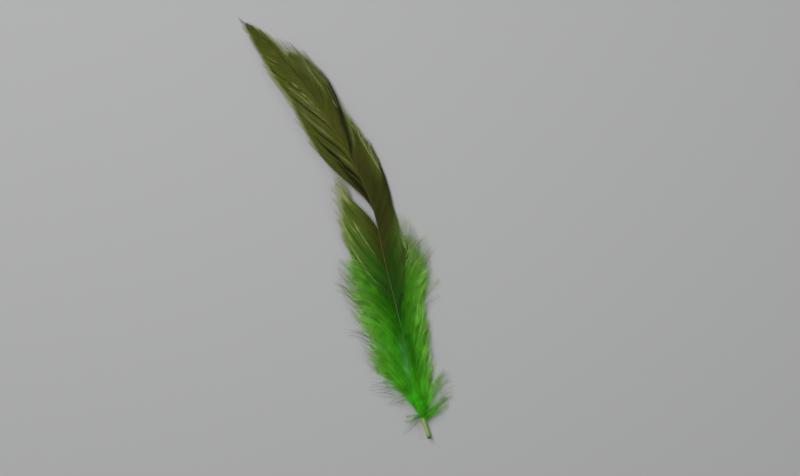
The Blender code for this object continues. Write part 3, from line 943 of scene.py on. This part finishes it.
# each group of hairs runs from one line to another: side, how many, rows of root station and offset
# and tip station and offset, spread of the tips, how far they sink towards the outline, how pale from
# and to, how green, half width
hairGroups = [
    # left of the down: dark, curved
    (-1, 72, [(57, 11, 69.5, 17), (50, 11.5, 62, 18.6), (43, 11.5, 54, 17.8)],
     1.1, 0.45, (0.1, 0.9), 0.5, 0.036),
    (-1, 40, [(42, 11.5, 52, 17), (34, 11.5, 40, 16.4), (26, 11.5, 30, 15.6)],
     1.2, 0.45, (0.1, 0.6), 0.5, 0.034),
    (-1, 18, [(25, 11, 26, 15.5), (19, 7.5, 18.5, 13), (15, 4.5, 13.5, 8)],
     0.9, 0.45, (0.2, 0.7), 0.6, 0.04),
    (-1, 3, [(53, 12.5, 62.3, 20.4), (50, 12.5, 58.1, 20.3)], 0.3, 0.45, (0, 0.1), 0.2, 0.06),
    (-1, 3, [(39, 12.5, 42.3, 19.8), (41, 12.5, 44, 18.8)], 0.3, 0.4, (0, 0.1), 0.2, 0.06),
    (-1, 4, [(21.5, 9, 22.2, 16), (19, 8, 19.5, 15.1)], 0.3, 0.4, (0, 0.2), 0.3, 0.05),
    (-1, 3, [(17, 4.5, 15.9, 11.8), (16, 4, 15, 10.8)], 0.2, 0.4, (0, 0.15), 0.4, 0.06),
    (-1, 3, [(8.6, 1.2, 7, 6.7), (8, 1.2, 6.2, 5.6)], 0.2, 1, (0, 0.1), 0.4, 0.06),
    (-1, 3, [(7.6, 0.6, 2.7, 11.2), (7.2, 0.6, 4.2, 6.5)], 0.25, 1, (0, 0.15), 0.4, 0.06),
    # pale wisps beside the quill
    (-1, 7, [(7.6, 0.5, 3, 1.6), (8, 0.5, 4.4, 3.4)], 0.5, 2, (0.5, 1), 0.5, 0.04),
    (1, 4, [(7.6, 0.5, 4, 1.5), (8, 0.5, 6, 3)], 0.4, 2, (0.5, 1), 0.6, 0.035),
    # right of the down
    (1, 76, [(64, 9.5, 72, 16), (56, 10.5, 65.5, 17.4), (48, 9, 57, 15.4)],
     1.4, 0.4, (0.2, 0.95), 0.5, 0.04),
    (1, 3, [(62, 12.5, 69.3, 19.6), (58, 13, 63.5, 18.2)], 0.3, 0.4, (0.1, 0.3), 0.3, 0.055),
    (1, 7, [(49.5, 9.5, 55.8, 19.6), (48, 9, 53, 17.2)], 0.45, 0.4, (0.4, 0.9), 0.4, 0.06),
    (1, 3, [(45, 9.5, 48.5, 17.1), (43.5, 9, 46.5, 15)], 0.3, 0.4, (0.2, 0.5), 0.3, 0.05),
    (1, 22, [(40, 7, 46, 10.6), (30, 7, 36, 10.2), (24, 6.5, 30, 9.6)], 0.7, 0.5, (0.1, 0.6), 0.5, 0.04),
    (1, 20, [(19, 8, 22, 14), (16, 8.5, 18, 14.6), (10.5, 8, 10.5, 13)],
     0.9, 0.5, (0.1, 0.7), 0.6, 0.045),
    # pale fringe right of the blade's foot
    (1, 80, [(57, 10, 68, 14), (62, 9.8, 74, 13), (69, 7.8, 80, 9.8)], 0.9, 0.55, (0.4, 1), 0.6, 0.04),
    (1, 4, [(50, 3.2, 60, 8.8), (58, 8.4, 68, 9.4)], 0.3, 0.3, (0.5, 0.9), 0.8, 0.06),
    # fine strands that lie on top of the down
    (-1, 70, [(18, 1.5, 26, 7.5), (28, 2, 37, 10), (38, 3.5, 47, 12), (46, 5.5, 57, 13)],
     2, -0.25, (0.3, 0.75), 1, 0.026),
    (1, 60, [(15, 1, 25, 5), (26, 1.5, 36, 7), (38, 2.5, 50, 9), (48, 6, 61, 11.5)],
     1.6, -0.25, (0.3, 0.75), 1, 0.026),
    # outer side of the split lock
    (-1, 190, [(60, 7, 70, 12.2), (68, 9.6, 77, 13.8), (76, 10.6, 84, 13.4), (84, 8.8, 93, 11.2)],
     1, 1, (0.7, 1), 0.6, 0.04),
    (-1, 56, [(84, 8.4, 96, 10.4), (90, 6.8, 100.5, 8.2)], 0.6, 1.5, (0.4, 1), 0.25, 0.045),
    # lower left side of the upper blade, along the split
    (-1, 80, [(90, 2.8, 98, 6.2), (96, 5, 104.5, 8.2), (102, 7, 110.5, 9.6), (107, 8.2, 115.5, 10.2)],
     0.35, 2.1, (0.5, 1), 0.2, 0.035),
    # outline of the upper blade
    (-1, 240, [(107, 7.6, 113.5, 9.9), (118, 8, 124.5, 9.6), (128, 6.9, 134.5, 8.2),
               (137, 5.7, 143.5, 6.9), (146, 4.2, 152.5, 5.1), (154, 2.9, 159.5, 3.6),
               (160, 1.4, 165, 1.6)],
     0.4, 2, (0.6, 1), 0.12, 0.038),
    (1, 26, [(127, 6.9, 142, 7.6), (131, 7, 148.5, 6.8), (135, 6.2, 151, 5.3), (139, 4.4, 153.5, 3.6)],
     0.45, 1.7, (0, 0.9), 0.1, 0.045),
    (1, 40, [(119, 5.2, 139.5, 7.2), (126, 4.8, 146, 7), (132, 3, 150, 4.8)],
     0.6, 1.6, (0.3, 1), 0.1, 0.045),
    (1, 70, [(124, 4.6, 139, 6), (130, 3.6, 145, 4.8), (134, 2, 147, 2.8)],
     0.6, 1.2, (0.1, 0.5), 0.2, 0.04),
    (1, 110, [(138, 1.6, 149, 3.8), (146, 1.6, 155.5, 3), (156, 0.8, 164, 1.4)],
     0.5, 1, (0.5, 1), 0.15, 0.035),
    (1, 64, [(94, 7.4, 102, 8.8), (98, 7.1, 107, 8.4), (103, 6.5, 112, 7.8), (114, 6.2, 124, 7.4)],
     0.35, 1.7, (0.5, 1), 0.15, 0.035),
    # dark wisp at the very tip
    (1, 7, [(156, 0.3, 166.4, 0.1), (160, 0.2, 168, -0.1)], 0.12, 0, (0, 0.1), 0, 0.05),
]
fineHair = {
    "rings": 10,
    "roots": (0.8, 0.5),     # how far the roots stray along and across
    "bow": 0.12,
    "wave": 0.12,
    "turns": (4.0, 10.0),    # of the wave
    "taper": 0.72,
    "flat": 0.8,             # height for each width
    "edge": 8.6,             # offset where a hair has sunk in full
    "cover": 0.25,           # least depth below the shaft's middle
    "rise": (0.1, 0.25),     # of the tips: mean and spread
}
hairColours = {
    "dark": dye(74, 80, 44),
    "darkGreen": dye(66, 104, 40),
    "pale": dye(196, 198, 128),
    "paleGreen": dye(168, 222, 116),
    "glow": dye(150, 190, 90),
}


def hairMaterial(name, colours):
    material, start = newMaterial(name)
    uv = start.make("UVMap", {"uv_map": "OFBake"})
    flecks = uv.stretch((40.0, 6.0, 1.0)).noise(1.0, 2.0)
    pale = start.attribute("pale") + (flecks - 0.5) * 0.4
    green = start.attribute("green") + (flecks - 0.5) * 0.3
    dark = start.blend(green, colours["dark"], colours["darkGreen"])
    light = start.blend(green, colours["pale"], colours["paleGreen"])
    colour = start.blend(pale, dark, light)
    start.surface({
        "Base Color": colour, "Roughness": 0.5 + (flecks - 0.5) * 0.3, "Specular IOR Level": 0.08,
    }, 0.25, colours["glow"])
    return material


def growHairs(name, groups, seed, material):
    random = np.random.default_rng(seed)
    share = shares(fineHair["rings"])
    strayAlong, strayAcross = fineHair["roots"]
    lines, halves, pales, greens = [], [], [], []
    for side, count, rows, spread, sink, pale, green, half in groups:
        at = np.sort(random.uniform(0.0, len(rows) - 1.0, count))
        places = np.arange(len(rows))
        ends = [np.interp(at, places, column) for column in np.array(rows, dtype=float).T]
        rootStation, rootOffset, tipStation, tipOffset = ends
        rootStation = rootStation + strayAlong * random.normal(size=count)
        rootOffset = rootOffset - strayAcross * random.uniform(0.0, 1.0, count)
        tipStation = tipStation + spread * np.clip(random.normal(size=count), -1.6, 1.6)
        tipOffset = tipOffset - spread * random.exponential(0.6, count)
        bow = random.normal(0.5, 0.6, (count, 1)) * fineHair["bow"]
        length = np.hypot(tipStation - rootStation, tipOffset - rootOffset)[:, None]
        arch = bow * length * 4.0 * share * (1.0 - share)
        station = rootStation[:, None] + (tipStation - rootStation)[:, None] * share + arch
        offset = rootOffset[:, None] + (tipOffset - rootOffset)[:, None] * share - 0.6 * arch
        turns = random.uniform(*fineHair["turns"], (count, 1))
        wave = fineHair["wave"] * np.sin(share * turns + random.uniform(*phases, (count, 1)))
        drop = sink * (offset / fineHair["edge"]) ** 2 + fineHair["cover"]
        drop = drop - random.normal(*fineHair["rise"], (count, 1)) * share
        lines.append(shaft.place(station, side * (offset + wave * share), -drop))
        halves.append(np.full(count, half))
        pales.append(random.uniform(*pale, count))
        greens.append(np.clip(green + random.normal(0.0, 0.15, count), 0.0, 1.0))
    lines = np.concatenate(lines)
    lines[..., 2] = np.maximum(lines[..., 2], feather["lineGap"])
    across, up = levelFrame(lines)
    width = np.concatenate(halves)[:, None] * (1.0 - fineHair["taper"] * share)
    marks = {"pale": fill(np.concatenate(pales)[:, None], width),
             "green": fill(np.concatenate(greens)[:, None], width)}
    bundle = Bundle()
    bundle.addStrands(lines, across, up, width, fineHair["flat"] * width, stemProfile, marks)
    return bundle.makePiece(name, material)


growHairs("hairs", hairGroups, 21, hairMaterial("fine hairs", hairColours))
print("hairs grown")


quill = {
    "sides": 14,
    "step": 2.4,        # between rings
    "halfWidth": [(0, 0.66), (8, 0.64), (14, 0.44), (20, 0.22), (28, 0.13), (50, 0.12), (60, 0.14),
                  (100, 0.08), (140, 0.06), (167, 0.03)],
    "halfHeight": [(0, 0.62), (20, 0.62), (40, 0.48), (60, 0.4), (100, 0.3), (140, 0.2), (167, 0.03)],
    "wall": 0.2,
    "hollow": 3.0,      # depth of the hole in the cut end
    "bare": dye(158, 188, 100),     # calamus
    "cut": dye(64, 118, 52),
    "inDown": dye(96, 170, 84),
    "inBlade": dye(112, 114, 56),
    "glow": dye(150, 190, 110),
}


def shaftMaterial(name, colours):
    material, start = newMaterial(name)
    coords = start.make("TexCoord", out="Object")
    station = start.attribute("station")
    mottle = coords.stretch((900.0, 160.0, 900.0)).noise(1.0, 3.0)
    lines = coords.stretch((5200.0, 260.0, 5200.0)).noise(1.0, 2.0)
    colour = start.blend(station.between(0.0, 1.6), colours["cut"], colours["bare"])
    colour = start.blend(station.between(8.0, 14.0), colour, colours["inDown"])
    colour = start.blend(station.between(40.0, 62.0), colour, colours["inBlade"])
    colour = start.shade(colour, 1.0 + (mottle - 0.5) * 0.5 + (lines - 0.5) * 0.25)
    start.surface({
        "Base Color": colour, "Roughness": 0.34 + (mottle - 0.5) * 0.2,
        "Normal": start.bump(0.3, 0.05 * mm, lines), "Specular IOR Level": 0.2,
    }, 0.18, colours["glow"])
    return material


def makeQuill(name, material):
    mesh = bmesh.new()
    stationLayer = mesh.verts.layers.float.new("station")
    ring = bmesh.ops.create_circle(mesh, cap_ends=False, segments=quill["sides"], radius=1.0)["verts"]
    turns = [math.atan2(point.co.y, point.co.x) for point in ring]
    edges = mesh.edges[:]
    end = mesh.faces.new(ring)
    stations = np.append(np.arange(0.0, shaft.length - 1.0, quill["step"]), shaft.length)

    def shapeRing(points, station):
        for point, turn in zip(points, turns):
            place = np.array([station])
            sideways = read(quill["halfWidth"], station) * math.cos(turn)
            upwards = read(quill["halfHeight"], station) * math.sin(turn)
            spot = shaft.place(place, np.array([sideways]), np.array([upwards]))[0]
            spot[2] = max(spot[2], feather["floorGap"])
            point.co = Vector(inMetres(spot))
            point[stationLayer] = station

    shapeRing(ring, 0.0)
    for station in stations[1:]:
        grown = bmesh.ops.extrude_edge_only(mesh, edges=edges)["geom"]
        points = [item for item in grown if isinstance(item, bmesh.types.BMVert)]
        edges = [item for item in grown if isinstance(item, bmesh.types.BMEdge)]
        shapeRing(points, station)
    mesh.faces.new(points)

    # the cut end is open: its wall is inset and pushed in
    bmesh.ops.inset_region(mesh, faces=[end], thickness=quill["wall"] * mm, use_even_offset=True)
    inner = bmesh.ops.extrude_face_region(mesh, geom=[end])["geom"]
    points = [item for item in inner if isinstance(item, bmesh.types.BMVert)]
    inwards = shaft.tangent(np.array([0.0]))[0] * quill["hollow"] * mm
    bmesh.ops.translate(mesh, vec=Vector(inwards), verts=points)
    bmesh.ops.delete(mesh, geom=[end], context="FACES_ONLY")
    for point in points:
        point[stationLayer] = 0.0
    bmesh.ops.recalc_face_normals(mesh, faces=mesh.faces)
    data = bpy.data.meshes.new(name)
    mesh.to_mesh(data)
    mesh.free()
    data.polygons.foreach_set("use_smooth", np.ones(len(data.polygons), dtype=bool))
    data.materials.append(material)
    return putOnFeather(name, data)


makeQuill("quill", shaftMaterial("quill and shaft", quill))
print("quill made")


studio = {
    "floor": (0.42, 0.42, 0.422, 1.0),
    "world": 0.17,
    "worldColour": (0.95, 0.98, 1.0, 1.0),
    "key": {"place": (-0.1, 0.46, 0.6), "size": 0.2, "power": 1.5},
    "top": {"place": (-0.12, 0.22, 0.9), "size": 0.36, "power": 4.85},
    "fill": {"place": (0.48, -0.15, 0.5), "size": 0.3, "power": 0.5},
    "cameraPlace": (0.01055, -0.01299, 0.42),
    "cameraTurn": -23.94,
    "sensor": 36.0,
    "viewWidth": 0.2816,      # width of the picture at the feather's own height
    "featherHeight": 0.003,
}


def makeFloor():
    mesh = bmesh.new()
    bmesh.ops.create_grid(mesh, x_segments=2, y_segments=2, size=3.0)
    data = bpy.data.meshes.new("floor")
    mesh.to_mesh(data)
    mesh.free()
    material, start = newMaterial("pale floor")
    start.surface({"Base Color": studio["floor"], "Roughness": 0.75, "Specular IOR Level": 0.2})
    data.materials.append(material)
    floor = addObject("floor", data)


def makeLight(name, light):
    lamp = bpy.data.lights.new(name, "AREA")
    lamp.size = light["size"]
    lamp.energy = light["power"]
    holder = addObject(name, lamp)
    holder.location = light["place"]
    holder.rotation_euler = Vector(light["place"]).to_track_quat("Z", "Y").to_euler()


def makeCamera():
    lens = bpy.data.cameras.new("camera")
    lens.sensor_width = studio["sensor"]
    distance = studio["cameraPlace"][2] - studio["featherHeight"]
    lens.lens = studio["sensor"] * distance / studio["viewWidth"]
    camera = addObject("camera", lens)
    camera.location = studio["cameraPlace"]
    camera.rotation_euler = (0.0, 0.0, math.radians(studio["cameraTurn"]))
    bpy.context.scene.camera = camera


def makeWorld():
    world = bpy.data.worlds.new("grey room")
    world.use_nodes = True
    back = world.node_tree.nodes["Background"]
    back.inputs["Color"].default_value = studio["worldColour"]
    back.inputs["Strength"].default_value = studio["world"]
    bpy.context.scene.world = world


makeFloor()
makeLight("key", studio["key"])
makeLight("top", studio["top"])
makeLight("fill", studio["fill"])
makeCamera()
makeWorld()
bpy.context.scene.view_settings.view_transform = "Standard"
print("studio set")
